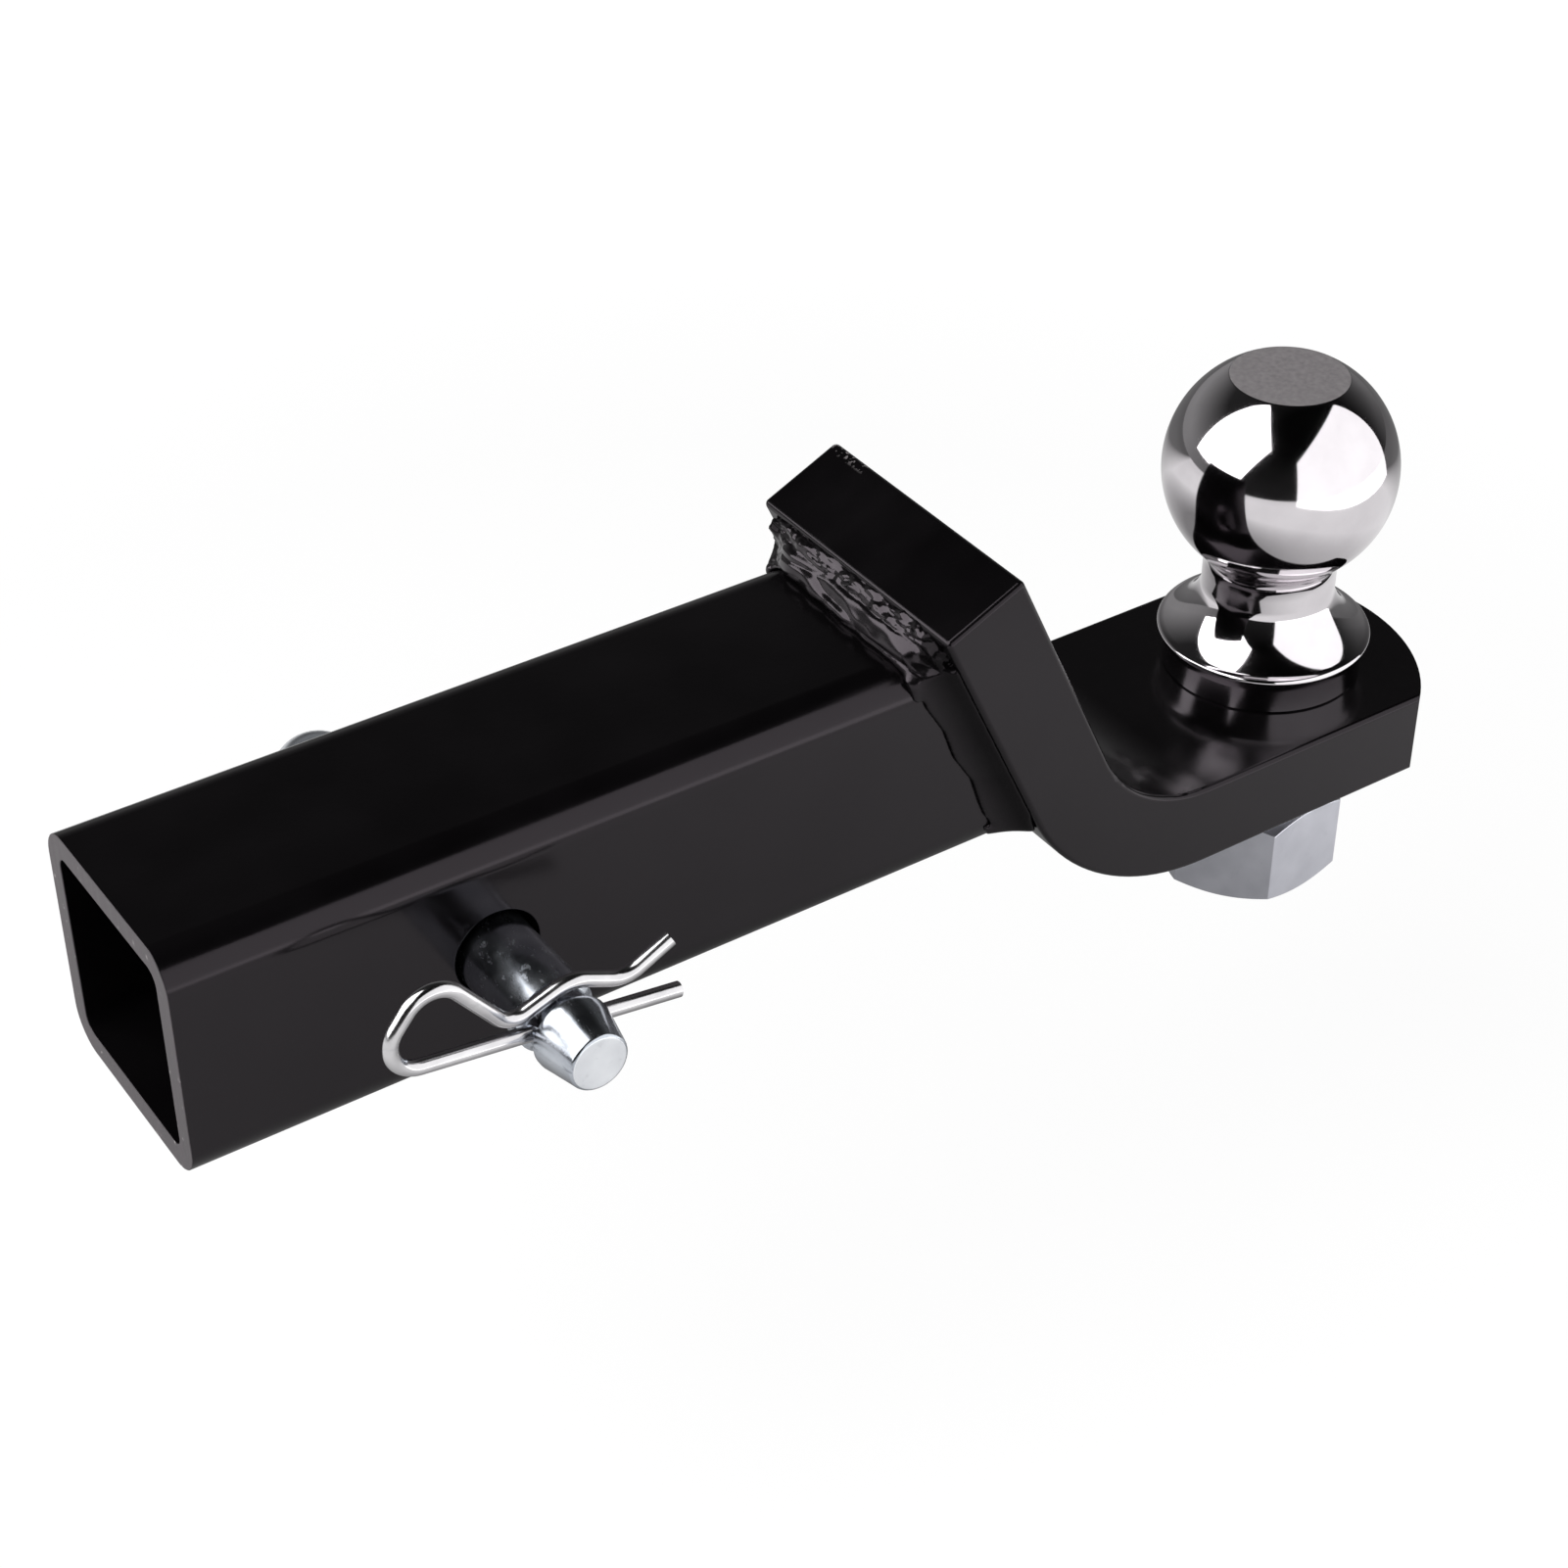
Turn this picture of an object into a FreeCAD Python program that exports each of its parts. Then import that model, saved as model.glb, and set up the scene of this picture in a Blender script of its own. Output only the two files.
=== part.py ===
import FreeCAD, Part
import math
import os

# Trailer hitch ball mount: a square shank welded to a bent drop plate, with hitch ball, nut,
# lock washer, bent hitch pin and hairpin clip.
# Frame: origin where the pin hole's axis crosses the shank's centre line, +X along the shank
# towards the ball, +Y to the side of the pin's handle, +Z up. Millimetres.

V = FreeCAD.Vector
X_AXIS = V(1, 0, 0)
Y_AXIS = V(0, 1, 0)
Z_AXIS = V(0, 0, 1)

# Shank tube
SHANK_SIZE = 50.8
SHANK_WALL = 5.0
SHANK_CORNER = 7.5
SHANK_INNER_CORNER = 3.0
SHANK_TOP_LENGTH = 164.1
END_TO_PIN = 63.7
PIN_HOLE_DIAMETER = 17.8

# Drop plate
PLATE_OVERHANG = 6.35
PLATE_THICKNESS = 19.8
PLATE_LEAN = 25.0
PLATE_RISE = 10.0
PLATE_EDGE_ROUND = 1.2
PLATFORM_DROP = 28.3
BEND_RADIUS = 32.0
BALL_REACH = 208.3
NOSE_REACH = 33.3
NOSE_RADIUS = 42.0

# Welds, with the sway of the hand that laid them as shares of the ripple's depth
WELD_SWAY = (0.0, 1.0, -0.4, 0.6, -1.0, 0.3, 0.8, -0.7)
TOP_WELD_ON_SHANK = 8.2
TOP_WELD_ON_PLATE = 8.6
TOP_WELD_CROWN = 0.9
TOP_WELD_RIPPLE = 0.5
TOP_WELD_STATIONS = 21
TOP_WELD_END_GAP = 1.2
SIDE_WELD_ON_SHANK = 8.3
SIDE_WELD_EDGE_GAP = 0.5
SIDE_WELD_HOLLOW = 0.9
SIDE_WELD_RIPPLE = 0.8
SIDE_WELD_STATIONS = 9
SIDE_WELD_TOP_REACH = 2.0
SIDE_WELD_END_GAP = 3.4
WELD_SINK = 0.9
BOTTOM_WELD_ON_SHANK = 5.5
BOTTOM_WELD_ON_PLATE = 4.5
BOTTOM_WELD_END_GAP = 12.0

# Hitch ball
BALL_DIAMETER = 50.8
BALL_FLAT_DIAMETER = 25.4
BALL_CENTRE_HEIGHT = 49.4
NECK_DIAMETER = 29.2
NECK_BOTTOM = 19.5
NECK_TOP = 25.5
NECK_BLEND = 2.6
FLARE_DIAMETER = 47.0
FLARE_EDGE_HEIGHT = 8.6
FLARE_EDGE_ROUND = 0.8
FLARE_HOLLOW = 1.3
RIM_DIAMETER = 44.0
RIM_HEIGHT = 6.0
BALL_SHANK_DIAMETER = 25.4
BALL_SHANK_LENGTH = 54.0
BALL_SHANK_CHAMFER = 1.5
BALL_HOLE_CLEARANCE = 0.4

# Nut and lock washer, whose coil is not yet pressed flat
NUT_ACROSS_FLATS = 38.1
NUT_HEIGHT = 21.8
NUT_TURN = 6.5
NUT_CHAMFER_ANGLE = 30.0
NUT_FACE_INSET = 0.6
NUT_THREAD_CLEARANCE = 0.05
WASHER_THICKNESS = 6.3
WASHER_WIDTH = 7.9
WASHER_BORE_CLEARANCE = 0.3
WASHER_RISE = 6.35
WASHER_GAP_ANGLE = 8.0

# Hitch pin
PIN_DIAMETER = 15.9
PIN_SEAT_CLEARANCE = 0.05
PIN_BEND_START = 39.5
PIN_BEND_RADIUS = 14.0
PIN_HANDLE_LENGTH = 34.0
PIN_HANDLE_ROUND = 2.0
PIN_TIP_END = 61.5
PIN_TIP_DIAMETER = 11.8
PIN_RIM_DIAMETER = 15.6
PIN_RIM_LAND = 1.0
PIN_GROOVE_DIAMETER = 13.0
PIN_GROOVE_WIDTH = 4.2
PIN_GROOVE_FLANK = 0.8

# Hairpin clip, in a plane across the pin, by the sharp points of its bends
CLIP_PLANE = 48.6
CLIP_WIRE = 3.1
CLIP_TILT = 8.0
CLIP_HOLE_CLEARANCE = 0.2
CLIP_LEG_END = 24.7
CLIP_LOOP_REACH = 40.0
CLIP_LOOP_TOP_REACH = 28.3
CLIP_LOOP_TOP_HEIGHT = 19.5
CLIP_LOOP_RADIUS = 6.3
CLIP_PINCH_REACH = 11.4
CLIP_PINCH_HEIGHT = 3.45
CLIP_PINCH_RADIUS = 5.0
CLIP_CROWN_REACH = 0.6
CLIP_CROWN_LIFT = 1.65
CLIP_CROWN_RADIUS = 9.0
CLIP_WAIST_REACH = 12.3
CLIP_WAIST_HEIGHT = 6.2
CLIP_WAIST_RADIUS = 7.0
CLIP_TAIL_REACH = 21.4
CLIP_TAIL_HEIGHT = 12.5

# Derived places
TOUCH = 0.01
HALF = SHANK_SIZE / 2
SIDE = HALF + PLATE_OVERHANG
PLATE_WIDTH = 2 * SIDE
SIDE_WELD_ON_PLATE = PLATE_OVERHANG - SIDE_WELD_EDGE_GAP
LEAN = math.radians(PLATE_LEAN)
THROUGH = V(math.cos(LEAN), 0, math.sin(LEAN))
DOWN = V(math.sin(LEAN), 0, -math.cos(LEAN))
JOINT_TOP = V(SHANK_TOP_LENGTH - END_TO_PIN, 0, HALF)
PLATFORM_TOP = -PLATFORM_DROP
PLATFORM_UNDERSIDE = PLATFORM_TOP - PLATE_THICKNESS
NOSE_TIP = BALL_REACH + NOSE_REACH
OUTER_BEND = BEND_RADIUS + PLATE_THICKNESS
PIN_HEIGHT = -(PIN_HOLE_DIAMETER - PIN_DIAMETER) / 2 + PIN_SEAT_CLEARANCE
NUT_TOP = PLATFORM_UNDERSIDE - WASHER_THICKNESS - WASHER_RISE
NUT_BOTTOM = NUT_TOP - NUT_HEIGHT
BIG = 4 * SHANK_TOP_LENGTH


def line(start, end):
    return Part.LineSegment(start, end).toShape()


def arc(start, middle, end):
    return Part.Arc(start, middle, end).toShape()


def face_of(edges):
    return Part.Face(Part.Wire(edges))


def polygon_face(points):
    return Part.Face(Part.makePolygon(points + [points[0]]))


def rounded_square(half, radius, x):
    """Square section across X with rounded corners."""
    edges = []
    flat = half - radius
    bulge = flat + radius * math.sqrt(0.5)
    for turn in range(4):
        spin = FreeCAD.Rotation(X_AXIS, 90 * turn)
        points = [V(x, half, -flat), V(x, half, flat), V(x, bulge, bulge), V(x, flat, half)]
        a, b, c, d = [spin.multVec(point) for point in points]
        edges.append(line(a, b))
        edges.append(arc(b, c, d))
    return face_of(edges)


def bend_geometry():
    """Rear and front top corners and the bend's centre, in the drop plate's centre section."""
    rear_top = JOINT_TOP - DOWN * PLATE_RISE
    front_top = rear_top + THROUGH * PLATE_THICKNESS
    fall = (front_top.z - PLATFORM_TOP) / math.cos(LEAN)
    corner = front_top + DOWN * fall
    tangent = BEND_RADIUS * math.tan((math.pi / 2 - LEAN) / 2)
    bend_end = corner + X_AXIS * tangent
    centre = bend_end + Z_AXIS * BEND_RADIUS
    return rear_top, front_top, centre


def plate_profile():
    """Closed side outline of the bent plate, at the -Y side."""
    rear_top, front_top, centre = bend_geometry()
    halfway = (THROUGH + Z_AXIS).normalize()
    inner = [centre - way * BEND_RADIUS for way in (THROUGH, halfway, Z_AXIS)]
    outer = [centre - way * OUTER_BEND for way in (THROUGH, halfway, Z_AXIS)]
    nose_top = V(NOSE_TIP, 0, PLATFORM_TOP)
    nose_bottom = V(NOSE_TIP, 0, PLATFORM_UNDERSIDE)
    edges = [line(front_top, inner[0]), arc(*inner), line(inner[2], nose_top), line(nose_top, nose_bottom)]
    edges += [line(nose_bottom, outer[2]), arc(*reversed(outer)), line(outer[0], rear_top)]
    edges.append(line(rear_top, front_top))
    face = face_of(edges)
    face.translate(V(0, -SIDE, 0))
    return face


def is_nose_edge(edge):
    return all(abs(vertex.X - NOSE_TIP) < TOUCH for vertex in edge.Vertexes)


def is_bend_seam(edge):
    """Seams across the plate where flat and bend meet, which stay smooth."""
    box = edge.BoundBox
    across = box.YLength > PLATE_WIDTH - TOUCH
    return across and box.Center.z < bend_geometry()[1].z - PLATE_THICKNESS


def drop_plate():
    plate = plate_profile().extrude(Y_AXIS * PLATE_WIDTH)
    rounded = [edge for edge in plate.Edges if not is_nose_edge(edge) and not is_bend_seam(edge)]
    plate = plate.makeFillet(PLATE_EDGE_ROUND, rounded)
    nose_centre = NOSE_TIP - NOSE_RADIUS
    depth = 2 * PLATE_THICKNESS
    floor = PLATFORM_UNDERSIDE - PLATE_THICKNESS / 2
    waste = Part.makeBox(2 * NOSE_RADIUS, 2 * PLATE_WIDTH, depth, V(nose_centre, -PLATE_WIDTH, floor))
    waste = waste.cut(Part.makeCylinder(NOSE_RADIUS, depth, V(nose_centre, 0, floor)))
    hole_radius = BALL_SHANK_DIAMETER / 2 + BALL_HOLE_CLEARANCE
    hole = Part.makeCylinder(hole_radius, depth, V(BALL_REACH, 0, floor))
    return plate.cut(waste).cut(hole)


def saw_waste():
    """Everything beyond the slanted saw cut where the shank meets the plate."""
    top = JOINT_TOP - DOWN * SHANK_SIZE
    bottom = JOINT_TOP + DOWN * (2 * SHANK_SIZE)
    points = [top, bottom, bottom + X_AXIS * BIG, top + X_AXIS * BIG]
    face = polygon_face([point - Y_AXIS * SHANK_SIZE for point in points])
    return face.extrude(Y_AXIS * (2 * SHANK_SIZE))


def shank_bar():
    """The shank's outer form with no hollow."""
    length = SHANK_TOP_LENGTH + SHANK_SIZE
    bar = rounded_square(HALF, SHANK_CORNER, -END_TO_PIN).extrude(X_AXIS * length)
    return bar.cut(saw_waste())


def shank_tube(bar):
    length = SHANK_TOP_LENGTH + SHANK_SIZE
    hollow = rounded_square(HALF - SHANK_WALL, SHANK_INNER_CORNER, -END_TO_PIN).extrude(X_AXIS * length)
    hole = Part.makeCylinder(PIN_HOLE_DIAMETER / 2, 2 * SHANK_SIZE, V(0, -SHANK_SIZE, 0), Y_AXIS)
    return bar.cut(hollow).cut(hole)


def weld_section(shank_toe, plate_toe, root, swell, into_shank):
    """Closed section of a fillet weld whose face stands out by swell and whose back is sunk in both pieces."""
    centre = (shank_toe + plate_toe) * 0.5
    crest = centre + (centre - root).normalize() * swell
    deep_plate = root + into_shank + THROUGH * WELD_SINK
    sunk_toe = plate_toe + THROUGH * WELD_SINK
    edges = [arc(shank_toe, crest, plate_toe), line(plate_toe, sunk_toe), line(sunk_toe, deep_plate)]
    deep_shank = shank_toe + into_shank
    edges += [line(deep_plate, deep_shank), line(deep_shank, shank_toe)]
    return Part.Wire(edges)


def corner_drop(along):
    """How far the shank's rounded corner lies below its flat top, at a place along Y."""
    past = max(0.0, abs(along) - (HALF - SHANK_CORNER))
    return SHANK_CORNER - math.sqrt(SHANK_CORNER ** 2 - past ** 2)


def top_weld(bar, plate):
    """Rippled weld across the shank's top, swept over its corners and trimmed to both pieces."""
    reach = HALF - TOP_WELD_END_GAP
    sections = []
    for station in range(TOP_WELD_STATIONS):
        along = reach * (2 * station / (TOP_WELD_STATIONS - 1) - 1)
        sway = TOP_WELD_RIPPLE * WELD_SWAY[station % len(WELD_SWAY)]
        drop = corner_drop(along)
        top = JOINT_TOP + Y_AXIS * along
        root = top + DOWN * (drop / math.cos(LEAN))
        shank_toe = root - X_AXIS * (TOP_WELD_ON_SHANK + sway)
        plate_toe = top - DOWN * (TOP_WELD_ON_PLATE - drop)
        sections.append(weld_section(shank_toe, plate_toe, root, TOP_WELD_CROWN + sway, Z_AXIS * -SHANK_WALL))
    return Part.makeLoft(sections, True, True).cut(bar).cut(plate)


def side_weld(side, bar, plate, others):
    """Hollow-faced weld with a wavering toe down one side of the shank; side is -1 or +1 along Y."""
    length = SIDE_WELD_TOP_REACH + 2 * SHANK_SIZE
    start = JOINT_TOP + Y_AXIS * (side * HALF) - DOWN * SIDE_WELD_TOP_REACH
    fall = (SHANK_SIZE + SHANK_CORNER + SIDE_WELD_TOP_REACH) / math.cos(LEAN)
    sections = []
    for station in range(SIDE_WELD_STATIONS):
        root = start + DOWN * (fall * station / (SIDE_WELD_STATIONS - 1))
        sway = SIDE_WELD_RIPPLE * WELD_SWAY[station % len(WELD_SWAY)]
        shank_toe = root - THROUGH * (SIDE_WELD_ON_SHANK + sway)
        plate_toe = root + Y_AXIS * (side * SIDE_WELD_ON_PLATE)
        into_shank = Y_AXIS * (-side * SHANK_CORNER)
        sections.append(weld_section(shank_toe, plate_toe, root, -SIDE_WELD_HOLLOW, into_shank))
    floor = -HALF + SIDE_WELD_END_GAP
    below = Part.makeBox(BIG, BIG, length, V(-BIG / 2, -BIG / 2, floor - length))
    bead = Part.makeLoft(sections, True, True).cut(below).cut(bar).cut(plate)
    for other in others:
        bead = bead.cut(other)
    return bead


def bottom_weld(bar, plate):
    """Wedge-shaped weld that closes the joint under the shank."""
    centre = bend_geometry()[2]

    def on_bend(z):
        return centre.x - math.sqrt(OUTER_BEND ** 2 - (centre.z - z) ** 2)

    root = on_bend(-HALF)
    low = -HALF - BOTTOM_WELD_ON_PLATE
    points = [V(root - BOTTOM_WELD_ON_SHANK, 0, -HALF), V(on_bend(low), 0, low)]
    points += [V(on_bend(low) + SHANK_WALL, 0, -HALF), V(root, 0, -HALF + SHANK_WALL)]
    points += [V(root - BOTTOM_WELD_ON_SHANK, 0, -HALF + SHANK_WALL)]
    reach = HALF - BOTTOM_WELD_END_GAP
    face = polygon_face([point - Y_AXIS * reach for point in points])
    return face.extrude(Y_AXIS * (2 * reach)).cut(bar).cut(plate)


def hitch_ball():
    """One turned profile from the shank's end to the ball's flat top."""
    ball = BALL_DIAMETER / 2
    flat = BALL_FLAT_DIAMETER / 2
    neck = NECK_DIAMETER / 2
    flare = FLARE_DIAMETER / 2
    rim = RIM_DIAMETER / 2
    bolt = BALL_SHANK_DIAMETER / 2
    blend = neck + NECK_BLEND

    def at(radius, height):
        return V(BALL_REACH + radius, 0, PLATFORM_TOP + height)

    def on_ball(radius, sign):
        return at(radius, BALL_CENTRE_HEIGHT + sign * math.sqrt(ball ** 2 - radius ** 2))

    bolt_end = -BALL_SHANK_LENGTH
    edge_low = at(flare - FLARE_EDGE_ROUND, FLARE_EDGE_HEIGHT - FLARE_EDGE_ROUND)
    edge_top = at(flare - FLARE_EDGE_ROUND, FLARE_EDGE_HEIGHT + FLARE_EDGE_ROUND)
    neck_low = at(neck, NECK_BOTTOM)
    chord = (neck_low + edge_top) * 0.5
    inward = V(edge_top.z - neck_low.z, 0, neck_low.x - edge_top.x).normalize()
    ball_low = on_ball(blend, -1)
    neck_high = at(neck, NECK_TOP)
    throat = at(neck + NECK_BLEND * (1 - math.sqrt(0.5)), (ball_low.z - PLATFORM_TOP + NECK_TOP) / 2)
    corners = [at(0, bolt_end), at(bolt - BALL_SHANK_CHAMFER, bolt_end)]
    corners += [at(bolt, bolt_end + BALL_SHANK_CHAMFER), at(bolt, 0), at(rim, 0), at(rim, RIM_HEIGHT), edge_low]
    edges = [line(a, b) for a, b in zip(corners, corners[1:])]
    edges.append(arc(edge_low, at(flare, FLARE_EDGE_HEIGHT), edge_top))
    edges.append(arc(edge_top, chord + inward * FLARE_HOLLOW, neck_low))
    edges.append(line(neck_low, neck_high))
    edges.append(arc(neck_high, throat, ball_low))
    edges.append(arc(ball_low, at(ball, BALL_CENTRE_HEIGHT), on_ball(flat, 1)))
    top = on_ball(flat, 1)
    axis_top = V(BALL_REACH, 0, top.z)
    edges += [line(top, axis_top), line(axis_top, corners[0])]
    return face_of(edges).revolve(V(BALL_REACH, 0, 0), Z_AXIS, 360)


def hex_nut():
    """Hexagon prism with both ends chamfered, bored for the ball's shank."""
    corner = NUT_ACROSS_FLATS / math.sqrt(3)
    face_radius = NUT_ACROSS_FLATS / 2 - NUT_FACE_INSET
    drop = (corner - face_radius) * math.tan(math.radians(NUT_CHAMFER_ANGLE))
    points = []
    for side in range(6):
        angle = math.radians(NUT_TURN + 60 * side)
        points.append(V(BALL_REACH + corner * math.cos(angle), corner * math.sin(angle), NUT_BOTTOM))
    prism = polygon_face(points).extrude(Z_AXIS * NUT_HEIGHT)
    turned = [(0, NUT_BOTTOM), (face_radius, NUT_BOTTOM), (corner, NUT_BOTTOM + drop)]
    turned += [(corner, NUT_TOP - drop), (face_radius, NUT_TOP), (0, NUT_TOP)]
    blank = polygon_face([V(BALL_REACH + r, 0, z) for r, z in turned]).revolve(V(BALL_REACH, 0, 0), Z_AXIS, 360)
    bore_radius = BALL_SHANK_DIAMETER / 2 + NUT_THREAD_CLEARANCE
    bore = Part.makeCylinder(bore_radius, NUT_HEIGHT, V(BALL_REACH, 0, NUT_BOTTOM))
    return prism.common(blank).cut(bore)


def lock_washer():
    """Split spring washer: a square-section coil of just under one turn."""
    inner = BALL_SHANK_DIAMETER / 2 + WASHER_BORE_CLEARANCE
    mean = inner + WASHER_WIDTH / 2
    turns = 1 - WASHER_GAP_ANGLE / 360
    helix = Part.makeHelix(WASHER_RISE / turns, WASHER_RISE, mean)
    outer = inner + WASHER_WIDTH
    section = Part.makePolygon([V(inner, 0, 0), V(outer, 0, 0), V(outer, 0, WASHER_THICKNESS),
                                V(inner, 0, WASHER_THICKNESS), V(inner, 0, 0)])
    coil = Part.Wire(helix.Edges).makePipeShell([section], True, True)
    coil.translate(V(BALL_REACH, 0, NUT_TOP))
    return coil


def clip_direction():
    tilt = math.radians(CLIP_TILT)
    return V(math.cos(tilt), 0, -math.sin(tilt)), V(math.sin(tilt), 0, math.cos(tilt))


def hitch_pin():
    """Bent bar with a turned tip: groove for the clip, short land, taper and cross hole."""
    radius = PIN_DIAMETER / 2
    groove = PIN_GROOVE_DIAMETER / 2
    rim = PIN_RIM_DIAMETER / 2
    tip = PIN_TIP_DIAMETER / 2
    near_flank = CLIP_PLANE - PIN_GROOVE_WIDTH / 2
    far_flank = CLIP_PLANE + PIN_GROOVE_WIDTH / 2

    def at(along, out):
        return V(0, -along, PIN_HEIGHT + out)

    neck = near_flank - PIN_GROOVE_FLANK
    rim_start = far_flank + PIN_GROOVE_FLANK
    outline = [at(-PIN_BEND_START, 0), at(-PIN_BEND_START, radius), at(neck, radius), at(near_flank, groove)]
    outline += [at(far_flank, groove), at(rim_start, rim), at(rim_start + PIN_RIM_LAND, rim)]
    outline += [at(PIN_TIP_END, tip), at(PIN_TIP_END, 0)]
    bar = polygon_face(outline).revolve(V(0, 0, PIN_HEIGHT), Y_AXIS, 360)
    bend_start = at(-PIN_BEND_START, 0)
    bend_centre = bend_start - Z_AXIS * PIN_BEND_RADIUS
    disc = Part.Face(Part.Wire(Part.makeCircle(radius, bend_start, Y_AXIS)))
    elbow = disc.revolve(bend_centre, X_AXIS * -1, 90)
    handle_top = bend_centre + Y_AXIS * PIN_BEND_RADIUS
    handle = Part.makeCylinder(radius, PIN_HANDLE_LENGTH, handle_top, Z_AXIS * -1)
    end_z = handle_top.z - PIN_HANDLE_LENGTH
    end_edges = [edge for edge in handle.Edges if abs(edge.BoundBox.ZMax - end_z) < TOUCH]
    handle = handle.makeFillet(PIN_HANDLE_ROUND, end_edges)
    along, _ = clip_direction()
    hole_radius = (CLIP_WIRE + CLIP_HOLE_CLEARANCE) / 2
    start = at(CLIP_PLANE, 0) - along * PIN_DIAMETER
    cross_hole = Part.makeCylinder(hole_radius, 2 * PIN_DIAMETER, start, along)
    return bar.fuse(elbow).fuse(handle).removeSplitter().cut(cross_hole)


def filleted_run(points, radii):
    """Straight runs through the points, with a tangent arc of the given radius at each inner point."""
    edges = []
    last = points[0]
    for before, corner, after, radius in zip(points, points[1:], points[2:], radii):
        back = (before - corner).normalize()
        ahead = (after - corner).normalize()
        half_angle = back.getAngle(ahead) / 2
        reach = radius / math.tan(half_angle)
        middle_way = (back + ahead).normalize()
        middle = corner + middle_way * (radius / math.sin(half_angle) - radius)
        edges.append(line(last, corner + back * reach))
        edges.append(arc(corner + back * reach, middle, corner + ahead * reach))
        last = corner + ahead * reach
    edges.append(line(last, points[-1]))
    return edges


def r_clip():
    """Round wire: straight leg through the pin, a long loop, then a leg that waves over the pin's groove."""
    along, up = clip_direction()
    origin = V(0, -CLIP_PLANE, PIN_HEIGHT)
    crown_height = (PIN_GROOVE_DIAMETER + CLIP_WIRE) / 2 + CLIP_CROWN_LIFT
    bends = [(CLIP_LEG_END, 0), (-CLIP_LOOP_REACH, 0), (-CLIP_LOOP_TOP_REACH, CLIP_LOOP_TOP_HEIGHT)]
    bends += [(-CLIP_PINCH_REACH, CLIP_PINCH_HEIGHT), (CLIP_CROWN_REACH, crown_height)]
    bends += [(CLIP_WAIST_REACH, CLIP_WAIST_HEIGHT), (CLIP_TAIL_REACH, CLIP_TAIL_HEIGHT)]
    points = [origin + along * reach + up * height for reach, height in bends]
    radii = [CLIP_LOOP_RADIUS, CLIP_LOOP_RADIUS, CLIP_PINCH_RADIUS, CLIP_CROWN_RADIUS, CLIP_WAIST_RADIUS]
    section = Part.Wire(Part.makeCircle(CLIP_WIRE / 2, points[0], along))
    return Part.Wire(filleted_run(points, radii)).makePipeShell([section], True, True)


def build():
    bar = shank_bar()
    plate = drop_plate()
    upper = top_weld(bar, plate)
    lower = bottom_weld(bar, plate)
    return {
        "shank_tube": shank_tube(bar),
        "drop_plate": plate,
        "weld_top": upper,
        "weld_bottom": lower,
        "weld_near_side": side_weld(-1, bar, plate, [upper, lower]),
        "weld_far_side": side_weld(1, bar, plate, [upper, lower]),
        "hitch_ball": hitch_ball(),
        "lock_washer": lock_washer(),
        "hex_nut": hex_nut(),
        "hitch_pin": hitch_pin(),
        "r_clip": r_clip(),
    }


os.makedirs("parts", exist_ok=True)
for name, shape in build().items():
    box = shape.BoundBox
    spans = [round(span, 2) for span in (box.XMin, box.XMax, box.YMin, box.YMax, box.ZMin, box.ZMax)]
    print(name, len(shape.Solids), "solid, valid", shape.isValid(), "volume", round(shape.Volume, 1), "box", spans)
    shape.exportStep("parts/" + name + ".step")
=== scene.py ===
# %% [markdown]
# This lesson dresses a trailer hitch ball mount for a studio picture. The mount is a square tube with a
# bent flat bar welded to its end, a chromed towing ball bolted through the bar, and a bent pin with a wire
# clip through the tube. The imported model is loaded first, as a fixed frame in metres, so that every piece
# made here lands where the steel already is. The box of the whole model is kept, so that the floor can be
# set under it.

# %% Load the imported ball mount
from math import atan2, cos, pi, radians, sin, sqrt

import bpy
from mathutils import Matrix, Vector


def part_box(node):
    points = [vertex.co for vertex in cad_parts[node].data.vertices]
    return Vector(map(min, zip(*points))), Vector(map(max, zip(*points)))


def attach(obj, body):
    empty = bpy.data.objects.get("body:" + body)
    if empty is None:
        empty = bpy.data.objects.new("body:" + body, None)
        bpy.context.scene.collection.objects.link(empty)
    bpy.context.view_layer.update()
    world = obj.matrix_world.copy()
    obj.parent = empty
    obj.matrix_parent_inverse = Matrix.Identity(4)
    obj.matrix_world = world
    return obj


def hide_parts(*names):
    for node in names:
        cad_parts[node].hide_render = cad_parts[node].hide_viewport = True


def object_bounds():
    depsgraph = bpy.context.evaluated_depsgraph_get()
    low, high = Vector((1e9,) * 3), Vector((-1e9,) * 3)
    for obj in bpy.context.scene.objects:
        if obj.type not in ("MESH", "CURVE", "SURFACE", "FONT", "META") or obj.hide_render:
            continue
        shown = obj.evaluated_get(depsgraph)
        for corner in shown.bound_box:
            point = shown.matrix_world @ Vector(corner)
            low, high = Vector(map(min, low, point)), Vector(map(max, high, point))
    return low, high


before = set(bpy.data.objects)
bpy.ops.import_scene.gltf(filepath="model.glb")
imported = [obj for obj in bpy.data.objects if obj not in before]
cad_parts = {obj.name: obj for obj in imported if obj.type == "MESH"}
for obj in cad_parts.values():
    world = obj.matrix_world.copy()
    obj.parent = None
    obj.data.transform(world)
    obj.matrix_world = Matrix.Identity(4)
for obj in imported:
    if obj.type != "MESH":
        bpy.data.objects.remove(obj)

CAD_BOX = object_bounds()
MM = 0.001
print("nodes:", sorted(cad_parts))
print("box in mm:", [[round(n / MM, 1) for n in corner] for corner in CAD_BOX])

# %% [markdown]
# Two small helpers save many lines. The first leaves one piece selected, because an operator acts on all
# that is selected. The second adds a modifier, sets it and applies it at once, so that no piece keeps a
# live modifier and its mesh is what is seen and exported.

# %% Select one piece, apply one modifier
def pick(piece):
    if bpy.context.object and bpy.context.object.mode != "OBJECT":
        bpy.ops.object.mode_set(mode="OBJECT")
    bpy.ops.object.select_all(action="DESELECT")
    piece.select_set(True)
    bpy.context.view_layer.objects.active = piece


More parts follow.
